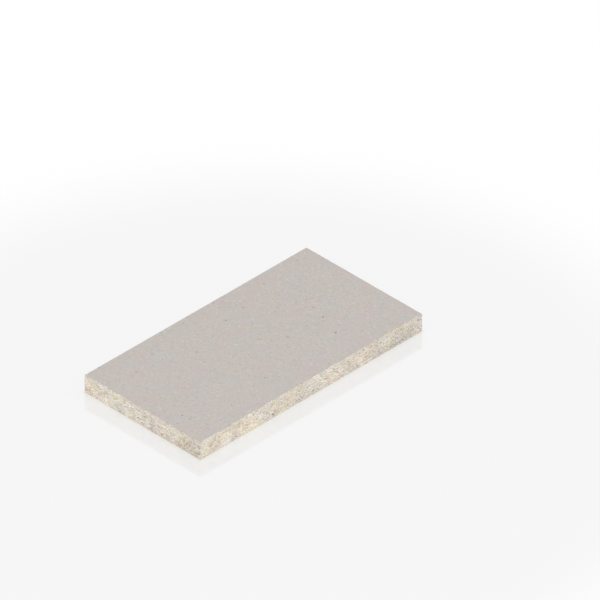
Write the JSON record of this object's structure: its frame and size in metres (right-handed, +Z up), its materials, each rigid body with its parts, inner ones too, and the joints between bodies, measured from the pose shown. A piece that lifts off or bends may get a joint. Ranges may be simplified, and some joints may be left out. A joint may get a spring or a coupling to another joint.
{
  "type": "particle board",
  "caption": "Cut rectangular piece of raw particle board, with sanded faces and four sawn edges that show the chips, ready to be cut, screwed or joined.",
  "frame": {"origin": "middle of the face that the board lies on", "axes": "+X along the length, +Y across the width, +Z up through the thickness"},
  "size_m": [0.267, 0.14, 0.018],
  "materials": {
    "particle_board": "matte"
  },
  "bodies": {
    "root": {"board": "particle_board"}
  },
  "joints": []
}
